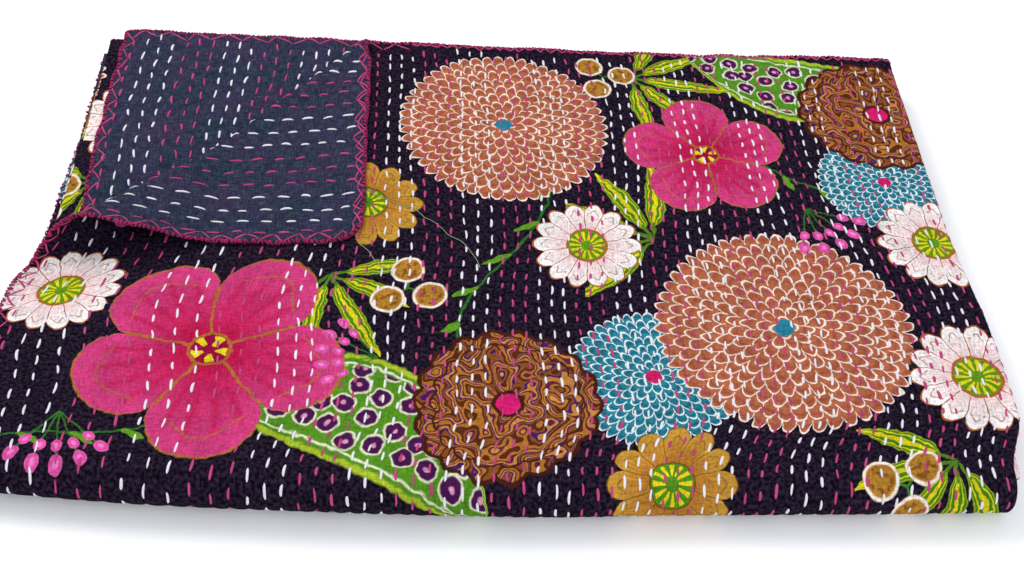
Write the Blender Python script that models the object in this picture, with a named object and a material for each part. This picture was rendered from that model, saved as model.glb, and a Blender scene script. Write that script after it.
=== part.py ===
"""A folded kantha quilt with one corner of its top layer turned over.

The quilt is two cotton cloths, a printed face and a plain backing, laid together. It is folded in four
across its length and the bundle in four again, so sixteen layers lie on each other. Every hem of the top
bundle ends at the back, and the last fold wraps the whole front. The back left corner of the top layer
is turned over along a diagonal, loosely rolled at its left end and pressed nearly flat at the back.

Frame: metres, +Z up, +X to the right, +Y to the back, resting on Z = 0 below its centre.
"""

from collections import namedtuple
from math import cos, pi, radians, sin

import bmesh
import bpy
import numpy as np
from mathutils import Vector

for old in list(bpy.data.objects):
    bpy.data.objects.remove(old, do_unlink=True)

# The cloths and how closely their layers lie
CLOTH = 0.0006
BETWEEN_CLOTHS = 0.0003
BETWEEN_LAYERS = 0.00035
BETWEEN_BUNDLES = 0.0002
PITCH = 2 * CLOTH + BETWEEN_CLOTHS + BETWEEN_LAYERS
BUNDLE = 4 * PITCH + BETWEEN_BUNDLES

# A strip folded in four: each panel's height in pitches above the strip's middle, and which way its
# printed side looks
PANELS = (
    # height, printed side
    (1.5, 1),
    (-1.5, -1),
    (-0.5, 1),
    (0.5, -1),
)
# The three folds that join those panels: 1 on the far side from the first hem and -1 on the hem's side,
# the height and radius in pitches, and whether the printed side is outside the fold
FOLDS = (
    # side, height, radius, printed side, steps
    (1, 0.0, 1.5, 1, 6),
    (-1, -1.0, 0.5, 1, 3),
    (1, 0.0, 0.5, -1, 3),
)

# Lines that every layer shares, so that neighbours have parallel facets
LINES_X = (-0.240, -0.120, 0.0, 0.120, 0.240)
LINES_Y = (0.140, 0.047, -0.047, -0.140)
# The middle of the finished outline, which is brought over the origin
MIDDLE = (-0.00351, -0.00121)
# Rough limits of a bundle, from which a place along the cloth is counted in panels
LEFT, RIGHT = -0.290, 0.285
BACK, FRONT = 0.186, -0.185

# Where the strip's five edges lie in X, in sections along the quilt. A place is counted in panels from
# the top bundle's back hem: 1 is the front fold, 2 the back fold, 3 the inner front fold, 4 the last hem.
SECTIONS_ALONG = (
    # place, hem, outer fold, hem-side fold, inner fold, last hem
    (0.00, -0.3070, 0.2780, -0.2945, 0.2700, -0.2855),
    (0.32, -0.3000, 0.2810, -0.2925, 0.2745, -0.2840),
    (0.50, -0.2970, 0.2840, -0.2945, 0.2760, -0.2800),
    (0.70, -0.3125, 0.2920, -0.2980, 0.2790, -0.2775),
    (0.88, -0.3110, 0.2940, -0.2990, 0.2800, -0.2770),
    (1.00, -0.3110, 0.2810, -0.2990, 0.2720, -0.2770),
    (1.12, -0.3100, 0.3005, -0.2970, 0.2850, -0.2790),
    (1.50, -0.3020, 0.2930, -0.2950, 0.2800, -0.2850),
    (2.00, -0.2980, 0.2800, -0.2930, 0.2720, -0.2870),
    (2.50, -0.3040, 0.2860, -0.2970, 0.2750, -0.2830),
    (3.00, -0.3060, 0.2880, -0.2940, 0.2790, -0.2800),
    (3.50, -0.2990, 0.2830, -0.2960, 0.2740, -0.2840),
    (4.00, -0.3010, 0.2770, -0.2950, 0.2690, -0.2860),
)
# Where the bundle's three folds lie in Y, in sections across it
SECTIONS_ACROSS = (
    # x, front fold, back fold, inner front fold
    (-0.310, -0.1745, 0.1790, -0.1660),
    (-0.200, -0.1830, 0.1800, -0.1720),
    (-0.090, -0.1865, 0.1770, -0.1765),
    (0.000, -0.1875, 0.1760, -0.1790),
    (0.100, -0.1845, 0.1775, -0.1755),
    (0.200, -0.1825, 0.1760, -0.1730),
    (0.300, -0.1795, 0.1740, -0.1710),
)
# Where the two raw edges at the back are hemmed, at places counted in panels from the top layer's left
# hem: 1 is the outer right fold, 2 the left fold, 3 the inner right fold
HEMS = (
    # place, top bundle's hem, last hem
    (0.00, 0.1480, 0.1850),
    (0.18, 0.1705, 0.1840),
    (0.33, 0.1868, 0.1830),
    (1.00, 0.1835, 0.1800),
    (1.50, 0.1850, 0.1820),
    (2.00, 0.1905, 0.1840),
    (2.50, 0.1860, 0.1825),
    (3.00, 0.1840, 0.1800),
    (3.60, 0.1895, 0.1830),
    (4.00, 0.2000, 0.1850),
)

# How much higher the bundle lies than its bare layers, as a share of the height, on the shared lines
# and at the outer limits
SWELL_LIMITS_X = (-0.320, 0.310)
SWELL_LIMITS_Y = (0.205, -0.205)
SWELL_X = (-0.05, -0.01, 0.04, 0.00, -0.04, 0.01, -0.03)
SWELL_Y = (-0.03, 0.01, 0.04, -0.02, -0.01, 0.02)

# The turned corner: where its roll starts on the left hem and at the back, the roll's radius at both, how
# far from the left hem it has narrowed, how steeply the cloth comes down behind it, how softly it lands
# (in radii), and the height at which the flap rests
ROLL_LEFT = (-0.3128, -0.0845)
ROLL_BACK = (-0.1055, 0.1829)
ROLL_RADIUS_LEFT = 0.0198
ROLL_RADIUS_BACK = 0.0028
ROLL_NARROWS = 0.2125
ROLL_DROP = radians(15.6)
ROLL_LANDING = 1.0
FLAP_REST = PITCH + 0.0010
# Distances along the roll, as shares of the narrowing, between which its bends run straight, and the
# number of facets round it
ROLL_SECTIONS = (0.0, 0.22, 0.40, 0.56, 0.70, 0.83, 1.0)
ROLL_FACETS = 6
# Points nearer than this are one, and nothing of the quilt is as far off as this
SAME_PLACE = 0.00001
FAR_OFF = 1.0
# Spacing of the cells that stand for the lower layers while the top one is cut
CELL = 0.05

PRINT_COLOUR = (0.012, 0.007, 0.018, 1.0)
BACKING_COLOUR = (0.028, 0.037, 0.062, 1.0)

Station = namedtuple("Station", "edge line place height reach out up")


def folded_strip(lines, near, far):
    """The stations along a strip folded in four, from its first hem to its last."""
    stations = []
    for number, (height, printed) in enumerate(PANELS):
        inward = number % 2 == 1
        if number == 0:
            stations.append(Station(0, None, 0.0, height, 0.0, 0.0, printed))
        for line in reversed(lines) if inward else lines:
            share = (line - near) / (far - near)
            place = number + (1 - share if inward else share)
            stations.append(Station(None, line, place, height, 0.0, 0.0, printed))
        if number < len(FOLDS):
            stations += fold_stations(number)
        else:
            stations.append(Station(4, None, 4.0, height, 0.0, 0.0, printed))
    return stations


def fold_stations(number):
    """The stations round one fold, which joins panel `number` to the next."""
    side, height, radius, printed, steps = FOLDS[number]
    start = pi / 2 if number == 0 else -pi / 2
    stations = []
    for step in range(steps + 1):
        turn = start * (1 - 2 * step / steps)
        stations.append(
            Station(
                number + 1,
                None,
                number + 1.0,
                height + radius * sin(turn),
                side * radius * cos(turn),
                printed * side * cos(turn),
                printed * sin(turn),
            )
        )
    return stations


def read_across(table, place, column):
    rows = np.array(table)
    return float(np.interp(place, rows[:, 0], rows[:, column]))


def swell(x, y):
    """How much the layers are spread in height there."""
    knots_x = (SWELL_LIMITS_X[0], *LINES_X, SWELL_LIMITS_X[1])
    knots_y = (SWELL_LIMITS_Y[0], *LINES_Y, SWELL_LIMITS_Y[1])
    return 1 + np.interp(x, knots_x, SWELL_X) + np.interp(-y, np.negative(knots_y), SWELL_Y)


def folded_point(across, along, depth):
    """A point of the folded quilt, `depth` towards the printed side from the middle of its two cloths."""
    if across.edge is None:
        x = across.line
    else:
        x = read_across(SECTIONS_ALONG, along.place, across.edge + 1)
    x += across.reach * PITCH + depth * across.out
    height = across.height * PITCH + depth * across.up

    if along.edge is None:
        y = -along.line
    elif along.edge in (0, 4):
        y = read_across(HEMS, across.place, 1 if along.edge == 0 else 2)
    else:
        y = read_across(SECTIONS_ACROSS, x, along.edge)
    y -= along.reach * BUNDLE + height * along.out
    z = FLOOR_TO_MIDDLE + along.height * BUNDLE + height * along.up
    return np.array((x, y, z))


def roll_section(length, radius):
    """Where cloth lies `length` past the start of a roll: how far out, how high, and its heading."""
    landing = ROLL_LANDING * radius
    down = pi + ROLL_DROP
    arc = radius * down
    top = radius * (1 - cos(down))
    slope = (top - landing * (1 - cos(ROLL_DROP)) - FLAP_REST) / sin(ROLL_DROP)
    if length <= arc:
        heading = length / radius
        return radius * sin(heading), radius * (1 - cos(heading)), heading
    out = radius * sin(down)
    straight = min(length - arc, slope)
    out += straight * cos(down)
    high = top + straight * sin(down)
    bend = min(max(length - arc - slope, 0.0), landing * ROLL_DROP)
    heading = down - bend / landing
    out -= landing * (sin(heading) - sin(down))
    high += landing * (cos(heading) - cos(down))
    out -= max(length - arc - slope - landing * ROLL_DROP, 0.0)
    return out, high, heading


def roll_frame():
    """Where the roll starts at the left hem, the way from there along it, and the way to the corner."""
    left, back = np.array(ROLL_LEFT), np.array(ROLL_BACK)
    axis = (back - left) / np.linalg.norm(back - left)
    return left, axis, np.array((-axis[1], axis[0]))


def roll_radius(along):
    """The roll's radius at a distance along it from the left hem."""
    share = min(max(1 - along / ROLL_NARROWS, 0.0), 1.0)
    return ROLL_RADIUS_BACK + (ROLL_RADIUS_LEFT - ROLL_RADIUS_BACK) * share**2 * (3 - 2 * share)


def top_point(x, y, depth):
    """A point of the top layer, laid flat or turned over with its corner."""
    start, axis, outward = roll_frame()
    place = np.array((x, y)) - start
    along, beyond = float(place @ axis), float(place @ outward)
    if beyond <= 0:
        return np.array((x, y, TOP_LAYER + depth))
    out, high, heading = roll_section(beyond, roll_radius(along))
    plan = start + along * axis + (out - depth * sin(heading)) * outward
    return np.array((plan[0], plan[1], TOP_LAYER + high + depth * cos(heading)))


FLOOR_TO_MIDDLE = 1.5 * BUNDLE + 1.5 * PITCH + CLOTH + BETWEEN_CLOTHS / 2
TOP_LAYER = FLOOR_TO_MIDDLE + 1.5 * BUNDLE + 1.5 * PITCH


def placed(point):
    """The same point once the layers are spread by the swell."""
    height = point[2] * swell(point[0], point[1])
    return Vector((point[0] - MIDDLE[0], point[1] - MIDDLE[1], height))


def flat_quilt(across, along):
    """The quilt as a flat mesh, cut along the lines of the roll, and the stations of its first points.

    The top layer lies where it ends up. The rest only has to follow on in order.
    """
    mesh = bmesh.new()
    stations = {}
    last_x, last_y = len(LINES_X) + 1, len(LINES_Y) + 1
    rows = []
    for j, down in enumerate(along):
        row = []
        for i, right in enumerate(across):
            anchor = folded_point(across[min(i, last_x)], along[min(j, last_y)], 0.0)
            beyond = (CELL * max(i - last_x, 0), -CELL * max(j - last_y, 0))
            vert = mesh.verts.new((anchor[0] + beyond[0], anchor[1] + beyond[1], 0.0))
            stations[vert] = (right, down, i <= last_x and j <= last_y)
            row.append(vert)
        rows.append(row)
    for upper, lower in zip(rows, rows[1:]):
        for i in range(len(across) - 1):
            mesh.faces.new((lower[i], lower[i + 1], upper[i + 1], upper[i]))
    cut_roll_lines(mesh)
    bmesh.ops.triangulate(mesh, faces=mesh.faces[:], quad_method="FIXED", ngon_method="BEAUTY")
    return mesh, stations


def roll_bends(radius):
    """How far past its start the cloth of a roll bends: round it, and where it meets the layer below."""
    down = pi + ROLL_DROP
    landing = ROLL_LANDING * radius
    top = radius * (1 - cos(down)) - landing * (1 - cos(ROLL_DROP))
    foot = radius * down + (top - FLAP_REST) / sin(ROLL_DROP)
    return [radius * down * k / ROLL_FACETS for k in range(ROLL_FACETS + 1)] + [foot, foot + landing * ROLL_DROP]


def turned_faces(mesh, nearest, farthest):
    """The faces past the start of the roll, between two distances along it."""
    start, axis, outward = roll_frame()
    found = []
    for face in mesh.faces:
        middle = face.calc_center_median()
        place = np.array((middle.x, middle.y)) - start
        if place @ outward > -SAME_PLACE and nearest <= place @ axis <= farthest:
            found.append(face)
    return found


def cut(mesh, faces, first, last):
    """Cuts faces of the flat mesh along the line through two of its points."""
    parts = set(faces)
    for face in faces:
        parts.update(face.edges)
        parts.update(face.verts)
    bmesh.ops.bisect_plane(
        mesh,
        geom=list(parts),
        dist=SAME_PLACE,
        plane_co=(first[0], first[1], 0.0),
        plane_no=(last[1] - first[1], first[0] - last[0], 0.0),
    )


def cut_roll_lines(mesh):
    """Cuts the turned corner across the roll, and between the cuts along the lines where its cloth bends."""
    start, axis, outward = roll_frame()
    top_layer = [face for face in mesh.faces if face.calc_center_median().y > FRONT]
    cut(mesh, top_layer, start, start + axis)
    stops = [share * ROLL_NARROWS for share in ROLL_SECTIONS]
    for stop in stops:
        cut(mesh, turned_faces(mesh, -FAR_OFF, FAR_OFF), start + stop * axis, start + stop * axis + outward)
    for near, far in zip((-FAR_OFF, *stops), (*stops, FAR_OFF)):
        for first, last in zip(roll_bends(roll_radius(near)), roll_bends(roll_radius(far))):
            on_near, on_far = start + near * axis + first * outward, start + far * axis + last * outward
            cut(mesh, turned_faces(mesh, near, far), on_near, on_far)


def cloth(name, near, far, colour, roughness):
    """One of the quilt's cloths, between two depths, as a closed solid."""
    across = folded_strip(LINES_X, LEFT, RIGHT)
    along = folded_strip([-y for y in LINES_Y], -BACK, -FRONT)
    flat, stations = flat_quilt(across, along)
    flat.verts.index_update()
    solid = bmesh.new()
    sides = []
    for depth in (near, far):
        side = []
        for vert in flat.verts:
            right, down, on_top = stations.get(vert, (None, None, True))
            if on_top:
                point = top_point(vert.co.x, vert.co.y, depth)
            else:
                point = folded_point(right, down, depth)
            side.append(solid.verts.new(placed(point)))
        sides.append(side)
    under, over = sides
    for face in flat.faces:
        corners = [vert.index for vert in face.verts]
        solid.faces.new([over[k] for k in corners])
        solid.faces.new([under[k] for k in reversed(corners)])
    for edge in flat.edges:
        if edge.is_boundary:
            first, second = edge_in_order(edge)
            solid.faces.new((under[first], under[second], over[second], over[first]))
    flat.free()
    bmesh.ops.triangulate(solid, faces=solid.faces[:])
    return finished(name, solid, colour, roughness)


def edge_in_order(edge):
    """The ends of a hem's edge in the order in which its one face runs round them."""
    for loop in edge.link_loops:
        return loop.vert.index, loop.link_loop_next.vert.index


def finished(name, solid, colour, roughness):
    """The object for a finished mesh, with its own material."""
    mesh = bpy.data.meshes.new(name)
    solid.to_mesh(mesh)
    solid.free()
    material = bpy.data.materials.new(name)
    material.use_nodes = True
    shader = material.node_tree.nodes["Principled BSDF"]
    shader.inputs["Base Color"].default_value = colour
    shader.inputs["Roughness"].default_value = roughness
    shader.inputs["Metallic"].default_value = 0.0
    mesh.materials.append(material)
    thing = bpy.data.objects.new(name, mesh)
    bpy.context.collection.objects.link(thing)
    return thing


HALF = BETWEEN_CLOTHS / 2
cloth("face_cloth", HALF, HALF + CLOTH, PRINT_COLOUR, 0.85)
cloth("backing_cloth", -HALF - CLOTH, -HALF, BACKING_COLOUR, 0.9)
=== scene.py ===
# %% [markdown]
# # A folded kantha quilt
#
# A kantha quilt is two cotton cloths, a printed face and a plain backing, held together by rows of running
# stitch all over. Here it lies folded in four both ways, so sixteen layers rest on each other, and the back
# left corner of the top layer is turned over so that the plain backing shows. This lesson dresses the plain
# model of that bundle: it makes the cloth again with finer folds, prints it, and sews it.
#
# The first cell loads the plain model, which stays as it is and gives every measure its place.

from math import cos, pi, radians, sin

import bpy
import numpy as np
from mathutils import Matrix, Vector


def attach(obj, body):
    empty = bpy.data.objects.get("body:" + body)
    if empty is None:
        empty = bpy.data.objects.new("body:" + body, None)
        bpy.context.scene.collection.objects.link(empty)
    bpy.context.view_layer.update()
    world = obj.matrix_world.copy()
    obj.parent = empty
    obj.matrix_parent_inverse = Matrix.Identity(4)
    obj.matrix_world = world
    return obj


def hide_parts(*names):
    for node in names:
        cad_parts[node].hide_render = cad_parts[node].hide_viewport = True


for name in ("Cube", "Light", "Camera"):
    if name in bpy.data.objects:
        bpy.data.objects.remove(bpy.data.objects[name], do_unlink=True)
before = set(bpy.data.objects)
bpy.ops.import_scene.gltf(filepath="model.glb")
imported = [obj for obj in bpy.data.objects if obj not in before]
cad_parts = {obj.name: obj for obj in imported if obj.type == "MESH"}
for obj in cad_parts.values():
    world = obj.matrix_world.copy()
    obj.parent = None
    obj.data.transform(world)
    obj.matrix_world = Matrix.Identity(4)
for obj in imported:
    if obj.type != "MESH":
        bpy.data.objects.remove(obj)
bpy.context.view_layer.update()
bpy.ops.object.select_all(action="DESELECT")

# %% [markdown]
# ## The folds, in numbers
#
# A cloth that is folded in four is a strip of four panels joined by three folds. The numbers below are the
# bundle's own: the pitch from one layer to the next, the height of one folded strip, and tables that say
# where each folded edge runs. Folding a strip twice, once along X and once along Y, gives all sixteen
# layers, so a point of the quilt needs only two lengths: how far it is from the left hem, and how far from
# the back hem.

# %% The bundle's measures, in metres
PITCH = 0.00185
BUNDLE = 4 * PITCH + 0.0002
MIDDLE = (-0.00351, -0.00121)
# A strip's four panels: height in pitches, and which way the printed side looks
PANEL_HEIGHTS = np.array((1.5, -1.5, -0.5, 0.5))
PANEL_PRINTED = np.array((1, -1, 1, -1))
# The three folds between them: far or near side, height, radius, and whether the printed side is outside
FOLDS = np.array(((1, 0.0, 1.5, 1), (-1, -1.0, 0.5, 1), (1, 0.0, 0.5, -1)))

EDGES_X = np.array((
    # place along Y, hem, outer fold, hem-side fold, inner fold, last hem
    (0.00, -0.3070, 0.2780, -0.2945, 0.2700, -0.2855),
    (0.32, -0.3000, 0.2810, -0.2925, 0.2745, -0.2840),
    (0.50, -0.2970, 0.2840, -0.2945, 0.2760, -0.2800),
    (0.70, -0.3125, 0.2920, -0.2980, 0.2790, -0.2775),
    (0.88, -0.3110, 0.2940, -0.2990, 0.2800, -0.2770),
    (1.00, -0.3110, 0.2810, -0.2990, 0.2720, -0.2770),
    (1.12, -0.3100, 0.3005, -0.2970, 0.2850, -0.2790),
    (1.50, -0.3020, 0.2930, -0.2950, 0.2800, -0.2850),
    (2.00, -0.2980, 0.2800, -0.2930, 0.2720, -0.2870),
    (2.50, -0.3040, 0.2860, -0.2970, 0.2750, -0.2830),
    (3.00, -0.3060, 0.2880, -0.2940, 0.2790, -0.2800),
    (3.50, -0.2990, 0.2830, -0.2960, 0.2740, -0.2840),
    (4.00, -0.3010, 0.2770, -0.2950, 0.2690, -0.2860),
))
EDGES_Y = np.array((
    # x, front fold, back fold, inner front fold
    (-0.310, -0.1745, 0.1790, -0.1660),
    (-0.200, -0.1830, 0.1800, -0.1720),
    (-0.090, -0.1865, 0.1770, -0.1765),
    (0.000, -0.1875, 0.1760, -0.1790),
    (0.100, -0.1845, 0.1775, -0.1755),
    (0.200, -0.1825, 0.1760, -0.1730),
    (0.300, -0.1795, 0.1740, -0.1710),
))
HEMS = np.array((
    # place along X, top bundle's hem, last hem
    (0.00, 0.1480, 0.1850),
    (0.18, 0.1705, 0.1840),
    (0.33, 0.1868, 0.1830),
    (1.00, 0.1835, 0.1800),
    (1.50, 0.1850, 0.1820),
    (2.00, 0.1905, 0.1840),
    (2.50, 0.1860, 0.1825),
    (3.00, 0.1840, 0.1800),
    (3.60, 0.1895, 0.1830),
    (4.00, 0.2000, 0.1850),
))
SWELL_X = np.array(((-0.320, -0.05), (-0.240, -0.01), (-0.120, 0.04), (0.0, 0.0), (0.120, -0.04), (0.240, 0.01),
                    (0.310, -0.03)))
SWELL_Y = np.array(((-0.205, 0.02), (-0.140, -0.01), (-0.047, -0.02), (0.047, 0.04), (0.140, 0.01), (0.205, -0.03)))
FLOOR_TO_MIDDLE = 1.5 * BUNDLE + 1.5 * PITCH + 0.00075
TOP_LAYER = FLOOR_TO_MIDDLE + 1.5 * BUNDLE + 1.5 * PITCH
print("layers every", PITCH * 1000, "mm, top layer at", round(TOP_LAYER * 1000, 1), "mm")

# %% [markdown]
# ## Reading the tables softly
#
# A folded edge wanders, and a straight line from one table row to the next would show as a kink in cloth
# this soft. A cubic curve through the rows keeps their places, rounds what lies between and never
# overshoots. The same reader gives the swell, which is how much the bundle puffs up in places. All layers
# swell together, so they stay apart, and the underside stays flat on the floor.

# %% A soft reader, and the swell of the bundle
def read_soft(table, at, column):
    """Values of a table's column at some places, on a smooth curve through its rows."""
    places, values = table[:, 0], table[:, column]
    steps = np.diff(values) / np.diff(places)
    before, after = steps[:-1], steps[1:]
    same = before * after > 0
    slopes = np.concatenate((steps[:1], np.where(same, 2 * before * after / (before + after + ~same), 0), steps[-1:]))
    at = np.clip(at, places[0], places[-1])
    row = np.clip(np.searchsorted(places, at, side="right") - 1, 0, len(places) - 2)
    width = places[row + 1] - places[row]
    t = (at - places[row]) / width
    return (
        values[row] * (2 * t**3 - 3 * t**2 + 1)
        + values[row + 1] * (3 * t**2 - 2 * t**3)
        + slopes[row] * width * (t**3 - 2 * t**2 + t)
        + slopes[row + 1] * width * (t**3 - t**2)
    )


def waves(x, y, length, seed):
    """A smooth uneven surface between -1 and 1, with hills about `length` across."""
    a, b, c = 1.7 * seed, 2.9 * seed, 4.3 * seed
    k = pi / length
    bent = x + 0.35 * length * np.sin(0.61 * k * y + a)
    first = np.sin(k * bent + b) * np.sin(0.83 * k * y + 0.4 * np.sin(0.7 * k * x + c))
    second = np.sin(0.57 * k * x - 0.92 * k * y + c) * np.cos(0.71 * k * x + 0.38 * k * y + a)
    return 0.6 * first + 0.4 * second


def swell(x, y):
    """How many times its bare height the bundle has there."""
    slow = read_soft(SWELL_X, x, 1) + read_soft(SWELL_Y, y, 1)
    return 1 + slow + 0.022 * waves(x, y, 0.048, 1) + 0.012 * waves(x, y, 0.021, 2)


print("swell at the middle:", round(float(swell(np.array(0.0), np.array(0.0))), 3))

# %% [markdown]
# ## Lengths along the cloth
#
# To print and sew a cloth we need to know, for any distance from its hem, which panel or fold it is in. The
# breaks below are the distances at which each panel and each fold starts, measured on the bundle itself, so
# a centimetre of print is a centimetre of cloth.

# %% Where panels and folds start along the cloth
def strip_breaks(panels, unit):
    """Distances from the first hem at which each panel and each fold of a strip starts, and its end."""
    steps = [0.0, panels[0]]
    for panel, radius in zip(panels[1:], FOLDS[:, 2]):
        steps += [pi * radius * unit, panel]
    return np.cumsum(steps)


panels_x = [abs(EDGES_X[:, n + 2] - EDGES_X[:, n + 1]).mean() for n in range(4)]
first_y = np.array((HEMS[2:6, 1].mean(), *EDGES_Y[:, 1:].mean(axis=0), HEMS[:, 2].mean()))
BREAKS_X = strip_breaks(panels_x, PITCH)
BREAKS_Y = strip_breaks(abs(np.diff(first_y)), BUNDLE)
FLAT_X, FLAT_Y = float(BREAKS_X[-1]), float(BREAKS_Y[-1])
print("the quilt unfolded:", round(FLAT_X, 3), "by", round(FLAT_Y, 3), "m")


def along_strip(length, breaks):
    """Panel number, share of the panel, and the turn of the fold, at distances from a strip's hem."""
    number = np.clip(np.searchsorted(breaks, length, side="right") - 1, 0, 6)
    share = np.clip((length - breaks[number]) / (breaks[number + 1] - breaks[number]), 0, 1)
    panel, folded = number // 2, number % 2 == 1
    side, height, radius, outside = np.moveaxis(FOLDS[np.minimum(panel, 2)], -1, 0)
    turn = np.where(panel == 0, pi / 2, -pi / 2) * (1 - 2 * share)
    return {
        "panel": panel + folded,
        "share": np.where(folded, 0.0, share),
        "height": np.where(folded, height + radius * np.sin(turn), PANEL_HEIGHTS[panel]),
        "reach": np.where(folded, side * radius * np.cos(turn), 0.0),
        "out": np.where(folded, outside * side * np.cos(turn), 0.0),
        "up": np.where(folded, outside * np.sin(turn), PANEL_PRINTED[panel]),
    }

# %% [markdown]
# ## The turned corner
#
# The corner is rolled back along a diagonal. At the left hem the roll is loose and nearly four centimetres
# high, and it narrows to almost nothing at the back hem. Behind the roll the cloth comes down in a long
# gentle slope and lies on the layer below. Rolling is bending, which doesn't stretch the cloth: the place
# of a point is found by walking its own distance round the roll.

# %% The roll and the flap behind it
ROLL_LEFT, ROLL_BACK = np.array((-0.3128, -0.0845)), np.array((-0.1055, 0.1829))
ROLL_RADII, ROLL_NARROWS = (0.0198, 0.0028), 0.2125
ROLL_DROP, FLAP_REST, FLAP_SAG = radians(15.6), PITCH + 0.0010, 0.0012
ROLL_ALONG = (ROLL_BACK - ROLL_LEFT) / np.linalg.norm(ROLL_BACK - ROLL_LEFT)
ROLL_OUTWARD = np.array((-ROLL_ALONG[1], ROLL_ALONG[0]))


def soft_step(value):
    """0 below 0, 1 above 1, and a soft rise between."""
    value = np.clip(value, 0, 1)
    return value * value * (3 - 2 * value)


def past_roll(x, y):
    """Distances along the roll and past its start, towards the corner."""
    dx, dy = x - ROLL_LEFT[0], y - ROLL_LEFT[1]
    return dx * ROLL_ALONG[0] + dy * ROLL_ALONG[1], dx * ROLL_OUTWARD[0] + dy * ROLL_OUTWARD[1]


def rolled(x, y, depth):
    """The place of the top layer's points once its corner is turned over."""
    along, beyond = past_roll(x, y)
    radius = ROLL_RADII[1] + (ROLL_RADII[0] - ROLL_RADII[1]) * soft_step(1 - along / ROLL_NARROWS)
    down, landing = pi + ROLL_DROP, radius
    arc = radius * down
    top = radius * (1 - cos(down))
    slope = (top - landing * (1 - cos(ROLL_DROP)) - FLAP_REST) / sin(ROLL_DROP)
    length = np.maximum(beyond, 0)
    heading = np.minimum(length, arc) / radius
    out, high = radius * np.sin(heading), radius * (1 - np.cos(heading))
    straight = np.clip(length - arc, 0, slope)
    bend = np.clip(length - arc - slope, 0, landing * ROLL_DROP)
    settled = down - bend / landing
    out += straight * cos(down) - landing * (np.sin(settled) - sin(down))
    out -= np.maximum(length - arc - slope - landing * ROLL_DROP, 0)
    high += straight * sin(down) + landing * (np.cos(settled) - cos(down))
    heading = np.where(length > arc, settled, heading)
    sag = FLAP_SAG * waves(x, y, 0.034, 3) * soft_step((length - arc) / 0.03)
    high += sag * soft_step(slope / 0.03)
    out = np.where(beyond < 0, beyond, out - depth * np.sin(heading))
    high += depth * np.cos(heading)
    return (
        ROLL_LEFT[0] + along * ROLL_ALONG[0] + out * ROLL_OUTWARD[0],
        ROLL_LEFT[1] + along * ROLL_ALONG[1] + out * ROLL_OUTWARD[1],
        TOP_LAYER + high,
    )

# %% [markdown]
# ## Any point of the quilt
#
# Now one function can place any point of the cloth: give it the distance from the left hem, the distance
# from the back hem, and how deep the point lies towards the printed side. Everything else in the lesson,
# cloth, stitches and hems, is laid through this one function, so it all follows the same folds.

# %% Place points of the cloth
HEM_WANDER, NEAR_HEM, CORNER = 0.0011, 0.03, 0.018


def across_panel(lines, part):
    """Where a point lies between the two folded edges or hems of its panel."""
    here = np.take_along_axis(lines, part["panel"][None], 0)[0]
    there = np.take_along_axis(lines, np.minimum(part["panel"] + 1, 4)[None], 0)[0]
    return here + (there - here) * part["share"]


def hem_wander(length, flat, along, hill, seed):
    """How far a hem strays, at a length from it, fading out away from both hems of the cloth."""
    near = 1 - soft_step(length / NEAR_HEM) + soft_step((length - flat + NEAR_HEM) / NEAR_HEM)
    return HEM_WANDER * waves(along, along * 0.3, hill, seed) * near


def quilt_points(u, v, depth):
    """World places of cloth points, `u` from the left hem, `v` from the back hem, `depth` to the print."""
    u, v, depth = np.broadcast_arrays(np.asarray(u, float), np.asarray(v, float), np.asarray(depth, float))
    across, down = along_strip(u, BREAKS_X), along_strip(v, BREAKS_Y)
    place_x = across["panel"] + across["share"]
    place_y = down["panel"] + down["share"]
    x = across_panel(np.stack([read_soft(EDGES_X, place_y, n + 1) for n in range(5)]), across)
    x = x + hem_wander(u, FLAT_X, v, 0.016, 4)
    x = x + across["reach"] * PITCH + depth * across["out"]
    height = across["height"] * PITCH + depth * across["up"]
    folds = [read_soft(EDGES_Y, x, n + 1) for n in range(3)]
    flat_y = across_panel(np.stack((read_soft(HEMS, place_x, 1), *folds, read_soft(HEMS, place_x, 2))), down)
    flat_y = flat_y + hem_wander(v, FLAT_Y, u, 0.018, 5)
    y = flat_y - down["reach"] * BUNDLE - height * down["out"]
    z = FLOOR_TO_MIDDLE + down["height"] * BUNDLE + height * down["up"]
    top = (u <= BREAKS_X[1]) & (v <= BREAKS_Y[1])
    a, b = np.maximum(CORNER - u, 0), np.maximum(CORNER - v, 0)
    pull = 1 - np.maximum(a, b) / np.maximum(np.hypot(a, b), 1e-9)
    turned = rolled(x + a * pull, flat_y - b * pull, depth)
    x, y, z = np.where(top, turned[0], x), np.where(top, turned[1], y), np.where(top, turned[2], z)
    z = np.maximum(z * swell(x, y), 0.0)
    return np.stack((x - MIDDLE[0], y - MIDDLE[1], z), axis=-1)


print("front left of the top layer at", quilt_points(0.0, BREAKS_Y[1], 0.0).round(3))

# %% [markdown]
# ## Puckered cloth
#
# Running stitch draws the cloths together, so each row lies in a shallow groove and the cloth puffs up
# between rows. The rows are sewn by eye: they are more than 12 mm apart near the left hem, about 8 mm
# further in, and they wander. The relief is part of the mesh where the cloth is in view. Where layers press
# on each other it is almost flat.

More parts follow.
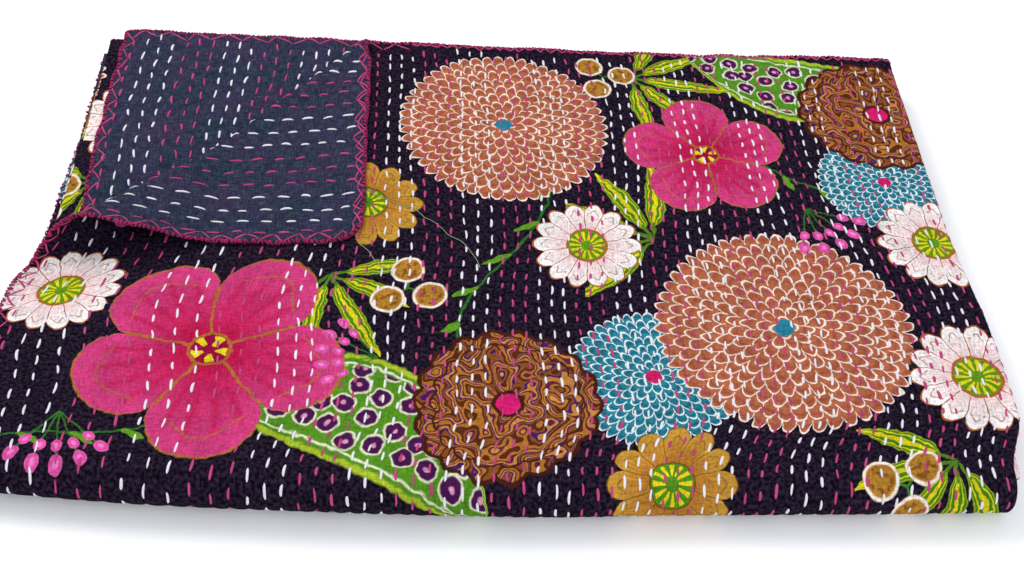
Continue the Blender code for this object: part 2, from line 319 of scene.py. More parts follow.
# %% Rows of stitching, and the relief they give the cloth
ROWS = np.array((
    # length from the left hem, rows so far, and the length of one stitch with its gap
    (0.0000, -0.90, 0.0142),
    (0.0300, 2.0, 0.0142),
    (0.0680, 5.0, 0.0142),
    (0.1070, 8.0, 0.0138),
    (0.1440, 11.0, 0.0130),
    (0.1745, 14.0, 0.0122),
    (0.2020, 17.0, 0.0116),
    (0.2285, 20.0, 0.0114),
    (0.3320, 32.0, 0.0113),
    (0.5960, 65.0, 0.0113),
    (FLAT_X - 0.305, 231.0, 0.0135),
    (FLAT_X, 262.8, 0.0142),
))
STRAY_SLOW, STRAY_QUICK, STRAY_FINE = 0.0060, 0.0008, 0.0005
GROOVE = 0.0019


def row_number(u):
    """How many rows lie between the left hem and a length."""
    return np.interp(u, ROWS[:, 0], ROWS[:, 1])


def row_place(row):
    """The length from the left hem at which a row lies."""
    return np.interp(row, ROWS[:, 1], ROWS[:, 0])


def row_shift(u, v):
    """How far a row of stitches strays from its straight line there."""
    slow = STRAY_SLOW * waves(u, v, 0.150, 9) * soft_step(u / 0.10) * soft_step((FLAT_X - u) / 0.10)
    return slow + STRAY_QUICK * waves(v, u, 0.062, 6) + STRAY_FINE * waves(v, u * 2.0, 0.021, 7)


def stitch_beat(row, v):
    """How many stitches of a row lie between the back hem and a length."""
    step = np.interp(row, ROWS[:, 1], ROWS[:, 2]) * (1 + 0.07 * np.sin(row * 2.39))
    return v / step + 0.8 * np.sin(row * 12.9898)


def relief(u, v):
    """The puckered surface of quilted cloth: below 0 in the rows, up to about 1 between them."""
    straight = u - row_shift(u, v)
    near = np.round(row_number(straight))
    aside = straight - row_place(near)
    groove = np.exp(-((aside / GROOVE) ** 2))
    puff = 0.55 + 0.45 * waves(u, v, 0.0105, 8)
    return puff * (1 - groove) - groove * (0.55 + 0.45 * np.cos(2 * pi * stitch_beat(near, v)))


print("rows of stitching:", int(row_number(FLAT_X)))

# %% [markdown]
# ## How deep each side lies
#
# The cloth is two cottons with a little between, so its printed and plain sides lie apart, a hem is thicker,
# and the puckers are strong only where they can be seen: on the top layer, and on the plain side where the
# corner is turned over or uncovers the layer below.

# %% Depths of the two sides
HALF_CLOTH, HEM_WIDTH, HEM_RISE = 0.0006, 0.0085, 0.00022
PRESSED, PRESSED_BACK = 0.00012, 0.00010
PUFFED, PUFFED_FLAP, PUFFED_BELOW = 0.00040, 0.00034, 0.00036


def past_crease(u, v):
    """How far a point of the top layer is past the start of its roll."""
    x = read_soft(EDGES_X, np.clip(v / BREAKS_Y[1], 0, 1), 1) + u
    y = read_soft(HEMS, np.clip(u / BREAKS_X[1], 0, 1), 1) - v
    return past_roll(x, y)[1]


def under_corner(u, v):
    """How far a point of the layer below is past the start of the roll above it."""
    flat = quilt_points(u, v, 0.0)
    return past_roll(flat[..., 0] + MIDDLE[0], flat[..., 1] + MIDDLE[1])[1]


def in_view(beyond):
    """0 before the start of the roll and 1 past it, with a soft rise between."""
    return soft_step((beyond - 0.004) / 0.02)


def cloth_depths(u, v, top):
    """How deep the printed and the plain side of the cloth lie from its middle."""
    edge = np.minimum(np.minimum(u, FLAT_X - u), np.minimum(v, FLAT_Y - v))
    side = HALF_CLOTH + HEM_RISE * (1 - soft_step((edge - HEM_WIDTH) / 0.0015))
    bumps = relief(u, v)
    if top:
        seen = soft_step((BREAKS_X[2] - u) / 0.006) * soft_step((BREAKS_Y[2] - v) / 0.01)
        front, back = PRESSED + PUFFED * seen, PRESSED + PUFFED_FLAP * in_view(past_crease(u, v))
    else:
        last = soft_step((u - BREAKS_X[6]) / 0.01) * soft_step((BREAKS_Y[1] - v) / 0.01)
        front, back = PRESSED, PRESSED_BACK + PUFFED_BELOW * last * in_view(under_corner(u, v))
    return side + bumps * front, -side - bumps * back


print("cloth", 2000 * HALF_CLOTH, "mm thick, hems", round(2000 * (HALF_CLOTH + HEM_RISE), 2), "mm")

# %% [markdown]
# ## Weaving the mesh
#
# The cloth is one sheet, but only its top layer and the corner below it are looked at closely. So it is
# made as two meshes that meet along a line hidden under the folds: a fine one for the top layer and the
# front fold, and one for the other layers, which is fine only under the turned corner. Each is a closed
# sheet with a printed side, a plain side and a rim, and carries the lengths along the cloth as its UV map.

# %% Build a closed sheet over a grid of cloth lengths
def spaced(start, end, step):
    """Evenly spaced lengths from start to end, about `step` apart."""
    return np.linspace(start, end, max(int(round((end - start) / step)), 1) + 1)


def joined_lengths(*runs):
    """Runs of lengths joined end to end, without the doubled ends."""
    return np.unique(np.concatenate(runs).round(7))


def add_object(name, data):
    """A new object in the scene."""
    thing = bpy.data.objects.new(name, data)
    bpy.context.collection.objects.link(thing)
    return thing


def add_mesh(name, points, faces, map_name, places):
    """A smooth mesh of four-cornered faces, with a UV map that gives each of their corners a place."""
    mesh = bpy.data.meshes.new(name)
    mesh.from_pydata(points.tolist(), [], faces.tolist())
    mesh.polygons.foreach_set("use_smooth", np.ones(len(faces), bool))
    mesh.uv_layers.new(name=map_name).data.foreach_set("uv", places.reshape(-1).astype(np.float32))
    mesh.update()
    print(name, len(faces) * 2, "triangles")
    return add_object(name, mesh)


def sheet_mesh(name, us, vs, keep, top):
    """A closed sheet over the grid cells where `keep` says so, its faces' lengths, and which are printed."""
    u, v = np.meshgrid(us, vs, indexing="ij")
    printed, plain = cloth_depths(u, v, top)
    cells = keep(0.5 * (u[:-1, :-1] + u[1:, 1:]), 0.5 * (v[:-1, :-1] + v[1:, 1:]))
    ids = np.arange(u.size).reshape(u.shape)
    a, b = ids[:-1, :-1][cells], ids[1:, :-1][cells]
    c, d = ids[1:, 1:][cells], ids[:-1, 1:][cells]
    upper = np.stack((a, d, c, b), axis=1)
    lower = np.stack((a, b, c, d), axis=1) + u.size
    padded = np.pad(cells, 1)
    rims = []
    i, j = np.nonzero(cells)
    for di, dj, first, last in ((-1, 0, a, d), (0, 1, d, c), (1, 0, c, b), (0, -1, b, a)):
        open_side = ~padded[i + 1 + di, j + 1 + dj]
        first, last = first[open_side], last[open_side]
        rims.append(np.stack((first, first + u.size, last + u.size, last), axis=1))
    faces = np.concatenate((upper, lower, *rims))
    points = np.concatenate((quilt_points(u, v, printed).reshape(-1, 3), quilt_points(u, v, plain).reshape(-1, 3)))
    lengths = np.tile(np.stack((u.ravel(), v.ravel()), axis=1), (2, 1))
    used, faces = np.unique(faces, return_inverse=True)
    faces = faces.reshape(-1, 4)
    lengths = lengths[used][faces]
    thing = add_mesh(name, points[used], faces, "cloth", lengths)
    return thing, lengths, np.arange(len(faces)) < len(upper)

# %% The top layer with its front fold
SEAM_X, SEAM_Y = BREAKS_X[2] + 0.012, BREAKS_Y[2] + 0.012


def top_lengths_along(breaks, seam, fine, turn):
    """Lengths over the first panel and fold of a strip, and on to the seam."""
    return joined_lengths(spaced(0.0, breaks[1], fine), spaced(breaks[1], breaks[2], turn),
                          spaced(breaks[2], seam, 0.004))


top_u = top_lengths_along(BREAKS_X, SEAM_X, 0.0021, 0.0009)
top_v = top_lengths_along(BREAKS_Y, SEAM_Y, 0.0029, 0.0019)
top_layer, top_lengths, top_printed = sheet_mesh("top_layer", top_u, top_v, lambda u, v: u <= SEAM_X, True)

# %% The layers below it
def strip_lengths(breaks, coarse, turn):
    """Lengths along a whole strip: far apart on panels and close together round folds."""
    return [spaced(breaks[number], breaks[number + 1], turn if number % 2 else coarse) for number in range(7)]


COARSE = 0.026
BELOW_CORNER_U, BELOW_CORNER_V = FLAT_X - 0.262, 0.252
lower_u = joined_lengths(
    *strip_lengths(BREAKS_X, COARSE, 0.0009)[:6],
    [SEAM_X],
    spaced(BREAKS_X[6], BELOW_CORNER_U, COARSE),
    spaced(BELOW_CORNER_U, FLAT_X, 0.0022),
)
lower_v = joined_lengths(
    spaced(0.0, BELOW_CORNER_V, 0.0031),
    spaced(BELOW_CORNER_V, BREAKS_Y[1], COARSE),
    [SEAM_Y],
    *strip_lengths(BREAKS_Y, COARSE, 0.0022)[1:],
)
lower_layers, lower_lengths, lower_printed = sheet_mesh(
    "lower_layers", lower_u, lower_v, lambda u, v: (u > SEAM_X) | (v > SEAM_Y), False
)

# %% [markdown]
# ## Sums in a shader
#
# The print is drawn by the material itself, from the lengths along the cloth, so it stays sharp at any
# distance. A flower is a formula: how far from its middle, at what angle, and what lies there. Written as
# nodes one by one that is long, so small helpers let us write sums on shader values as on numbers.

# %% Write shader maths as sums
class Wire:
    """A value in a shader tree on which sums can be written."""

    def __init__(self, tree, socket):
        self.tree, self.socket = tree, socket

    def run(self, operation, *others, clamp=False):
        """One step of shader maths on this value and others."""
        inputs = dict(enumerate((self, *others)))
        return Wire(self.tree, add_node(self.tree, "Math", inputs, operation=operation, use_clamp=clamp).outputs[0])

    def under(self, limit, soft=0.012):
        """1 where the value is below a limit, 0 above, with a soft edge."""
        return ((self - limit) * (-1 / soft)).run("ADD", 0.5, clamp=True)

    def over(self, limit, soft=0.012):
        """1 where the value is above a limit, 0 below, with a soft edge."""
        return self.under(limit, -soft)

    def stretched(self, times, less):
        """The value times a number, less another, kept between 0 and 1."""
        return (self * times).run("SUBTRACT", less, clamp=True)


for name, operation in {
    "__add__": "ADD", "__sub__": "SUBTRACT", "__mul__": "MULTIPLY", "__truediv__": "DIVIDE", "__pow__": "POWER",
    "__abs__": "ABSOLUTE", "sine": "SINE", "cosine": "COSINE", "larger": "MAXIMUM", "above": "GREATER_THAN",
    "below": "LESS_THAN", "fraction": "FRACT", "root": "SQRT", "wrapped": "WRAP",
}.items():
    setattr(Wire, name, lambda self, *others, operation=operation: self.run(operation, *others))


def plug(tree, value, port):
    """Sets a socket from a number, a colour, a Wire or another socket."""
    if isinstance(value, Wire):
        value = value.socket
    if isinstance(value, bpy.types.NodeSocket):
        tree.links.new(value, port)
    else:
        port.default_value = value


def add_node(tree, kind, inputs=(), **settings):
    """A new shader node with its settings made and its inputs set."""
    node = tree.nodes.new("ShaderNode" + kind)
    for name, value in settings.items():
        setattr(node, name, value)
    for name, value in dict(inputs).items():
        plug(tree, value, node.inputs[name])
    return node


def paint(tree, below, above, mask, blend="MIX"):
    """Lays one colour over another where the mask says so."""
    inputs = {"Factor": mask, "A": below, "B": above}
    return add_node(tree, "Mix", inputs, data_type="RGBA", blend_type=blend).outputs["Result"]


def mottle(tree, place, scale, detail=2.0, output="Fac"):
    """A cloudy value from 0 to 1."""
    noise = add_node(tree, "TexNoise", {"Vector": place, "Scale": scale, "Detail": detail})
    return Wire(tree, noise.outputs[output])


def ink(red, green, blue):
    """A printed colour from its everyday 0 to 255 values."""
    values = (red / 255, green / 255, blue / 255)
    return tuple(v / 12.92 if v <= 0.04045 else ((v + 0.055) / 1.055) ** 2.4 for v in values) + (1.0,)


print("shader helpers ready")

# %% [markdown]
# ## A frame for every motif
#
# Each motif is a shader group. It is given the place within the motif, with the middle at 0 and the edge at
# 1, a few numbers and its inks, and it puts out a colour and a mask that says where the motif is. This class
# opens such a group, lays its inks one over another, and closes it.

# %% The frame
def shader_group(name, given, made):
    """A shader group: its tree, its inputs as Wires, the two parts of its Place, and its outputs."""
    tree = bpy.data.node_groups.new(name, "ShaderNodeTree")
    for way, sockets in (("INPUT", given), ("OUTPUT", made)):
        for label, kind in sockets.items():
            tree.interface.new_socket(label, in_out=way, socket_type="NodeSocket" + kind)
    first, last = tree.nodes.new("NodeGroupInput"), tree.nodes.new("NodeGroupOutput")
    wires = {label: Wire(tree, first.outputs[label]) for label in given}
    split = add_node(tree, "SeparateXYZ", {0: wires["Place"]}).outputs
    return tree, wires, Wire(tree, split[0]), Wire(tree, split[1]), last.inputs


class Motif:
    """A shader group that draws one motif."""

    def __init__(self, name, numbers, inks):
        given = {"Place": "Vector", **dict.fromkeys(numbers, "Float"), **dict.fromkeys(inks, "Color")}
        opened = shader_group(name, given, {"Colour": "Color", "Mask": "Float"})
        self.tree, self.given, self.x, self.y, self.made = opened
        self.r = (self.x * self.x + self.y * self.y).root()
        self.angle = self.y.run("ARCTAN2", self.x)
        self.colour = self.given[inks[0]]

    def __getitem__(self, name):
        return self.given[name]

    def flat_place(self):
        """The place without its third part."""
        return add_node(self.tree, "CombineXYZ", {0: self.x, 1: self.y}).outputs[0]

    def lay(self, name, mask):
        """Lays an ink over what is drawn so far."""
        self.colour = paint(self.tree, self.colour, self[name], mask)

    def closed(self, mask):
        """The finished group."""
        plug(self.tree, self.colour, self.made["Colour"])
        plug(self.tree, mask, self.made["Mask"])
        return self.tree


print("frame for motifs ready")

# %% [markdown]
# ## Flowers in rings, and flowers with open petals
#
# A dahlia is ring on ring of small petals. Each ring outwards has a few petals more than the one before, so
# all petals are about as wide, and each ring is turned by its own angle, so the tips overlap like tiles. The
# same group with other numbers makes a blue aster. An open flower has one ring of long petals, a few broad
# ones for a hibiscus or many narrow ones for a daisy or a marigold.

# %% A flower of many rings
def ringed_flower():
    numbers = ("Rings", "Petals", "Scallop", "Line", "Eye size")
    m = Motif("ringed_flower", numbers, ("Fill", "Deep", "Outline", "Eye"))
    ring = m.r * m["Rings"]
    number, part = ring.run("FLOOR"), ring.fraction()
    arch = abs((m.angle * (number * m["Petals"] + 4.0) * 0.5 + number * 2.4).cosine())
    rise = arch ** 0.5 * m["Scallop"]
    m.lay("Deep", abs(part - rise * 0.5).under(0.14, 0.24) * arch.over(0.5, 0.3) * 0.8)
    side = arch.under(m["Line"] * 1.6, 0.10) * part.under(0.4, 0.2)
    m.lay("Outline", abs(part - rise).under(m["Line"], 0.06).larger(side))
    m.lay("Eye", m.r.under(m["Eye size"]))
    return m.closed((ring - m["Rings"] + 1.0 - rise).under(m["Line"], 0.06))


# %% A flower with one ring of open petals
def open_flower():
    numbers = ("Petals", "Notch", "Round", "Line", "Eye size")
    m = Motif("open_flower", numbers, ("Fill", "Deep", "Outline", "Eye", "Ray"))
    turn, line, eye = m.angle * m["Petals"], m["Line"], m["Eye size"]
    arch = abs((turn * 0.5).cosine())
    reach = m.r / ((arch ** m["Round"] - 1.0) * m["Notch"] + 1.0)
    streak = abs((turn * 2.5).sine()) ** 6.0
    m.lay("Deep", (reach * -1.5).run("ADD", 1.25, clamp=True))
    m.lay("Deep", streak * abs(reach - 0.62).under(0.22, 0.12) * 0.55)
    inner_line = abs(reach - 0.80 - (turn * 2.0).cosine() * 0.03).under(line * 0.5)
    m.lay("Outline", inner_line * arch.above(0.5) * 0.7)
    m.lay("Outline", (arch * m.r).under(line * 1.6).larger((reach + line).over(1.0)))
    m.lay("Eye", m.r.under(eye))
    m.lay("Ray", turn.cosine().above(0.1) * m.r.under(eye * 0.88) * m.r.over(eye * 0.3))
    m.lay("Outline", abs(m.r - eye).under(line * 0.6))
    return m.closed(reach.under(1.0))

# %% [markdown]
# ## Leaves, a paisley, berries, buds, a medallion and stems
#
# Turning the place round the middle in equal steps lets one leaf formula draw a whole spray. The paisley is
# a drop with a bent tip, filled with small blossoms. The medallion has wavy rings like grained wood.

# %% A spray of slender leaves
def leaf_spray():
    m = Motif("leaf_spray", ("Leaves", "Width"), ("Fill", "Vein", "Outline"))
    between, base, stem_half = 0.60, 0.13, 0.011
    number = (m.angle / between).run("ROUND")
    turn = m.angle - number * between
    straight = m.r * turn.cosine()
    length = abs(number) * -0.09 + 1.0 - number.run("FLOORED_MODULO", 2.0) * 0.12
    along = (straight - base) / (length - base)
    aside = m.r * turn.sine() - (along * pi).sine() * 0.025 * number.run("SIGN")
    held = along.larger(0.0)
    width = held ** 0.65 * (held * -1.0 + 1.0).larger(0.0) * m["Width"]
    beside = abs(aside) / (width + 0.0005)
    m.lay("Vein", (beside * 2.2 - along * 0.5).fraction().under(0.30, 0.15))
    m.lay("Fill", abs(beside - 0.42).under(0.05, 0.05))
    m.lay("Vein", abs(aside).under(0.010))
    m.lay("Outline", beside.over(0.86, 0.1))
    inside = beside.under(1.0, 0.1) * held.above(0.001) * held.below(0.98)
    stalk = abs(aside).under(stem_half) * straight.under(0.18) * m.x.above(-0.02)
    m.lay("Fill", stalk)
    return m.closed(inside.larger(stalk) * (abs(number) - m["Leaves"]).below(0.5))


# %% A paisley filled with blossoms
def paisley():
    m = Motif("paisley", ("Scale",), ("Fill", "Border", "Outline", "Blossom", "Dot"))
    bent = m.y - (m.x + 0.15) ** 2.0 * 0.30
    tail, head = (m.x * -1.0 + 1.0).larger(0.0), (m.x + 1.0).larger(0.0)
    beside = abs(bent) / (tail ** 0.85 * head ** 0.5 * 0.42 + 0.001)
    cells = {"Vector": m.flat_place(), "Scale": m["Scale"], "Randomness": 0.45}
    away = Wire(m.tree, add_node(m.tree, "TexVoronoi", cells, voronoi_dimensions="2D").outputs["Distance"])
    for name, radius in (("Outline", 0.42), ("Blossom", 0.35), ("Dot", 0.10)):
        m.lay(name, away.under(radius, 0.06))
    m.lay("Fill", beside.over(0.76, 0.05))
    m.lay("Outline", abs(beside - 0.80).under(0.02, 0.03))
    m.lay("Border", beside.over(0.90, 0.04))
    return m.closed(beside.under(1.0, 0.04) * abs(m.x).below(0.98))


# %% Berries, buds and stems
def berries():
    m = Motif("berries", ("Size",), ("Fill", "Deep", "Outline", "Stem"))
    turn, size = m.angle.wrapped(pi / 3, -pi / 3), m["Size"]
    berry_x, berry_y = m.r * turn.cosine() - 0.55, m.r * turn.sine()
    away = (berry_x * berry_x + berry_y * berry_y).root()
    m.lay("Deep", mottle(m.tree, m.flat_place(), 6.0).under(0.47, 0.08) * away.under(size - 0.08, 0.05))
    m.lay("Outline", abs(away - size).under(0.035, 0.03))
    berry = away.under(size + 0.035, 0.03)
    m.colour = paint(m.tree, m["Stem"], m.colour, berry)
    return m.closed(berry.larger(abs(berry_y).under(0.022, 0.02) * m.r.under(0.55)))


def buds():
    m = Motif("buds", ("Size",), ("Stem", "Fill", "Deep"))
    between = 0.36
    turn = m.angle.wrapped(between / 2, -between / 2)
    aside, along = m.r * turn.sine(), m.r * turn.cosine()
    mask = abs(aside).under(0.010, 0.02) * along.under(0.86)
    for place, size in ((0.86, 1.0), (0.60, 0.72)):
        bud = (((along - place) / 0.115) ** 2.0 + (aside / 0.085) ** 2.0) / (m["Size"] * size)
        m.lay("Fill", bud.under(1.0, 0.15))
        m.lay("Deep", bud.under(0.16, 0.15))
        mask = mask.larger(bud.under(1.0, 0.15))
    return m.closed(mask * abs(m.angle).below(between * 2.5))


def stem():
    m = Motif("stem", ("Bend",), ("Fill", "Leaf"))
    path = m.y - (m.x * 2.2).sine() * m["Bend"]
    leaf_x, lean = m.x.wrapped(0.19, -0.19), 0.72
    along, aside = leaf_x * lean + path * lean - 0.085, path * lean - leaf_x * lean
    small = ((along / 0.10) ** 2.0 + (aside / 0.034) ** 2.0).under(1.0, 0.2) * abs(m.x).under(0.86)
    m.lay("Leaf", small)
    return m.closed((abs(path).under(0.011, 0.01) * abs(m.x).under(0.97)).larger(small))


# %% A grained medallion
def medallion():
    m = Motif("medallion", ("Rings", "Scallops"), ("Outline", "Middle"))
    grain = m.r * m["Rings"] + (m.angle * 6.0).cosine() * 0.35 + mottle(m.tree, m.flat_place(), 3.2, 1.0) * 5.0
    ramp = add_node(m.tree, "ValToRGB", {0: grain.fraction()})
    ramp.color_ramp.interpolation = "CONSTANT"
    bands = ((0.0, ink(88, 42, 26)), (0.20, ink(176, 112, 44)), (0.42, ink(96, 34, 62)), (0.55, ink(196, 132, 60)),
             (0.72, ink(70, 30, 96)), (0.84, ink(140, 78, 36)))
    for start, colour in bands:
        entry = ramp.color_ramp.elements.new(start) if start else ramp.color_ramp.elements[0]
        entry.color = colour
    ramp.color_ramp.elements.remove(ramp.color_ramp.elements[-1])
    m.colour = ramp.outputs["Color"]
    reach = m.r / (abs((m.angle * m["Scallops"] * 0.5).cosine()) * 0.07 + 0.93)
    m.lay("Outline", reach.over(0.95))
    m.lay("Outline", abs(reach - 0.80).under(0.012))
    m.lay("Outline", m.r.under(0.17))
    m.lay("Middle", m.r.under(0.13))
    return m.closed(reach.under(1.0))


print("motifs drawn")

# %% [markdown]
# ## The repeat of the print
#
# A printed cloth repeats. The table gives the middle, size and turn of each motif in one repeat, in four
# layers, from the leaves that lie lowest to the berries on top. Motifs of one layer never touch. For each
# face of the mesh we note which motif of each layer is near and where the face lies within it, so the face
# needs a material that draws only those motifs.

# %% Where the motifs lie
REPEAT_U, REPEAT_V, DROP = 0.640, 0.420, 0.210
LAYERS = (
    # for each layer, each motif's places in one repeat: u, v, radius and turn in degrees
    {
        "spray": ((0.395, 0.190, 0.088, 205), (0.560, 0.360, 0.080, 130), (0.190, 0.225, 0.075, 60),
                  (0.610, 0.160, 0.070, -20), (0.395, 0.030, 0.078, 10)),
        "stem": ((0.300, 0.205, 0.080, 100), (0.470, 0.110, 0.070, 20), (0.060, 0.350, 0.070, -30)),
    },
    {
        "aster": ((0.385, 0.300, 0.050, 0), (0.560, 0.135, 0.046, 0), (0.040, 0.060, 0.046, 0)),
        "paisley": ((0.235, 0.335, 0.085, 25), (0.500, 0.035, 0.078, 195), (0.130, 0.150, 0.085, 200)),
    },
    {
        "dahlia": ((0.468, 0.262, 0.079, 0), (0.300, 0.085, 0.074, 0), (0.100, 0.075, 0.070, 0)),
        "medallion": ((0.570, 0.065, 0.058, 0), (0.300, 0.320, 0.055, 0)),
        "hibiscus": ((0.128, 0.285, 0.080, 15), (0.440, 0.110, 0.058, 50)),
        "daisy": ((0.575, 0.300, 0.041, 0), (0.580, 0.190, 0.038, 0), (0.350, 0.195, 0.036, 0),
                  (0.030, 0.235, 0.036, 0)),
        "marigold": ((0.398, 0.373, 0.037, 0), (0.206, 0.164, 0.037, 0)),
    },
    {
        "berries": ((0.240, 0.235, 0.027, 20), (0.530, 0.375, 0.027, 75), (0.375, 0.030, 0.026, -10)),
        "buds": ((0.050, 0.335, 0.044, 80), (0.500, 0.160, 0.042, 60), (0.225, 0.290, 0.038, 190),
                 (0.020, 0.150, 0.040, 0)),
    },
)
KINDS = [motif for layer in LAYERS for motif in layer]
FARTHEST = 1.12  # a motif draws nothing beyond this many radii


def repeats(layer):
    """Every motif of a layer over the whole cloth: kind, middle, radius and turn, as columns."""
    rows = []
    for column in range(-1, 5):
        for line in range(-2, 5):
            for motif, places in layer.items():
                for u, v, radius, turn in places:
                    place = u + column * REPEAT_U, v + line * REPEAT_V + (column % 2) * DROP
                    rows.append((KINDS.index(motif), *place, radius, radians(turn)))
    return np.array(rows)


def print_cloth(thing, lengths):
    """Notes on every face corner where it lies in the nearest motif of each layer. Gives each face's motifs."""
    middles = lengths.mean(axis=1)
    half = np.hypot(*(lengths[:, 0] - lengths[:, 2]).T) / 2
    found = np.full((len(middles), len(LAYERS)), -1)
    for number, layer in enumerate(LAYERS):
        motifs = repeats(layer)
        nearest = np.full(len(middles), np.inf)
        chosen = np.zeros(len(middles), int)
        for row, (_, u, v, radius, _) in enumerate(motifs):
            away = np.hypot(middles[:, 0] - u, middles[:, 1] - v) / radius
            closer = away < nearest
            nearest[closer], chosen[closer] = away[closer], row
        kind, u, v, radius, turn = motifs[chosen].T
        found[:, number] = np.where(nearest < FARTHEST + half / radius, kind, -1)
        du, dv = lengths[..., 0] - u[:, None], lengths[..., 1] - v[:, None]
        c, s = np.cos(turn)[:, None], np.sin(turn)[:, None]
        place = np.stack(((du * c + dv * s) / radius[:, None], (dv * c - du * s) / radius[:, None], 0 * du), axis=-1)
        noted = thing.data.attributes.new(f"print_{number}", "FLOAT_VECTOR", "CORNER")
        noted.data.foreach_set("vector", place.reshape(-1).astype(np.float32))
    print("printed", thing.name, "with motifs of", len(KINDS), "kinds")
    return found


top_motifs = print_cloth(top_layer, top_lengths)
lower_motifs = print_cloth(lower_layers, lower_lengths)

# %% [markdown]
# ## Weave
#
# Both cloths are plain-woven cotton with slightly uneven yarn. The weave group gives a height for the
# relief and a shade that makes some yarns a little lighter. Both sides of the quilt use it.

# %% The weave, as a shader group
YARN = 0.0009


def weave_group():
    given = {"Place": "Vector", "Pitch": "Float"}
    tree, wires, x, y, made = shader_group("weave", given, {"Height": "Float", "Shade": "Float"})
    woven = (x / wires["Pitch"] * (2 * pi)).sine() * (y / wires["Pitch"] * (2 * pi)).sine()
    slubs = []
    for stretch in ((1300.0, 140.0, 1.0), (140.0, 1300.0, 1.0)):
        scaled = add_node(tree, "VectorMath", {0: wires["Place"], 1: stretch}, operation="MULTIPLY")
        slubs.append(mottle(tree, scaled.outputs[0], 1.0))
    yarn = (slubs[0] + slubs[1]) * 0.5
    plug(tree, woven * 0.25 + yarn, made["Height"])
    plug(tree, yarn * 2.0 - 1.0, made["Shade"])
    return tree


WEAVE = weave_group()


def add_group(tree, group, place, values):
    """Places a shader group in a tree, with its values set."""
    return add_node(tree, "Group", {"Place": place, **values}, node_tree=group)


def new_material(name, roughness, specular):
    """A material with its tree and shader."""
    material = bpy.data.materials.new(name)
    material.use_nodes = True
    shader = material.node_tree.nodes["Principled BSDF"]
    shader.inputs["Roughness"].default_value = roughness
    shader.inputs["Specular IOR Level"].default_value = specular
    return material, material.node_tree, shader


def add_bump(tree, shader, height, strength, distance):
    """Gives a shader a relief."""
    inputs = {"Strength": strength, "Distance": distance, "Height": height}
    tree.links.new(add_node(tree, "Bump", inputs).outputs["Normal"], shader.inputs["Normal"])


def cotton(name, roughness):
    """A cotton material with its weave: the material, its tree, cloth lengths, shader and the weave's shade."""
    material, tree, shader = new_material(name, roughness, 0.02)
    lengths = add_node(tree, "UVMap", uv_map="cloth").outputs["UV"]
    weave = add_group(tree, WEAVE, lengths, {"Pitch": YARN})
    add_bump(tree, shader, weave.outputs["Height"], 0.6, 0.0003)
    return material, tree, lengths, shader, Wire(tree, weave.outputs["Shade"])


print("weave ready")

# %% [markdown]
# ## The printed face
#
# The ground is a very dark aubergine. Each layer of motifs is painted over the one before. Hand-printed
# edges are never quite true, so the place within a motif is shaken a little by noise before it is drawn,
# and the inks are thinner where the yarns stand up. There is one material for each set of motifs that meet
# on a face. All of them use the same groups, so the print runs on from face to face.

# %% The inks, and how each motif is drawn
OFF_WHITE, RUST, OCHRE = ink(244, 226, 216), ink(178, 102, 70), ink(178, 126, 46)
GREEN, YELLOW, LEAF_EDGE = ink(70, 132, 26), ink(226, 206, 34), ink(150, 172, 40)
STALK = ink(60, 124, 40)
RINGED, OPEN = ringed_flower(), open_flower()
DRAW = {
    "spray": (leaf_spray(), {"Leaves": 2.0, "Width": 0.235, "Fill": GREEN, "Vein": YELLOW, "Outline": LEAF_EDGE}),
    "stem": (stem(), {"Bend": 0.22, "Fill": ink(46, 110, 40), "Leaf": ink(96, 150, 36)}),
    "aster": (RINGED, {"Rings": 8.0, "Petals": 6.0, "Scallop": 0.90, "Line": 0.10, "Eye size": 0.10,
                       "Fill": ink(44, 128, 146), "Deep": ink(24, 92, 122), "Outline": ink(232, 240, 242),
                       "Eye": ink(206, 34, 104)}),
    "paisley": (paisley(), {"Scale": 5.2, "Fill": ink(84, 142, 34), "Border": ink(168, 190, 48),
                            "Outline": ink(232, 230, 196), "Blossom": ink(72, 24, 76), "Dot": ink(226, 150, 190)}),
    "dahlia": (RINGED, {"Rings": 9.0, "Petals": 6.0, "Scallop": 0.93, "Line": 0.085, "Eye size": 0.08,
                        "Fill": RUST, "Deep": ink(156, 76, 58), "Outline": OFF_WHITE, "Eye": ink(40, 126, 150)}),
    "medallion": (medallion(), {"Rings": 3.5, "Scallops": 18.0, "Outline": ink(70, 30, 24),
                                "Middle": ink(214, 30, 110)}),
    "hibiscus": (OPEN, {"Petals": 5.0, "Notch": 0.38, "Round": 0.55, "Line": 0.018, "Eye size": 0.15,
                        "Fill": ink(208, 62, 124), "Deep": ink(186, 20, 70), "Outline": ink(172, 108, 48),
                        "Eye": ink(150, 12, 62), "Ray": YELLOW}),
    "daisy": (OPEN, {"Petals": 14.0, "Notch": 0.20, "Round": 0.8, "Line": 0.034, "Eye size": 0.36,
                     "Fill": ink(246, 242, 240), "Deep": ink(238, 190, 190), "Outline": ink(176, 96, 48),
                     "Eye": ink(96, 146, 30), "Ray": YELLOW}),
    "marigold": (OPEN, {"Petals": 12.0, "Notch": 0.26, "Round": 0.6, "Line": 0.020, "Eye size": 0.34,
                        "Fill": ink(196, 146, 56), "Deep": ink(172, 104, 42), "Outline": ink(120, 74, 24),
                        "Eye": ink(84, 140, 30), "Ray": YELLOW}),
    "berries": (berries(), {"Size": 0.36, "Fill": OCHRE, "Deep": ink(134, 84, 32), "Outline": OFF_WHITE,
                            "Stem": STALK}),
    "buds": (buds(), {"Size": 1.0, "Fill": ink(226, 84, 168), "Deep": ink(240, 136, 196), "Stem": STALK}),
}


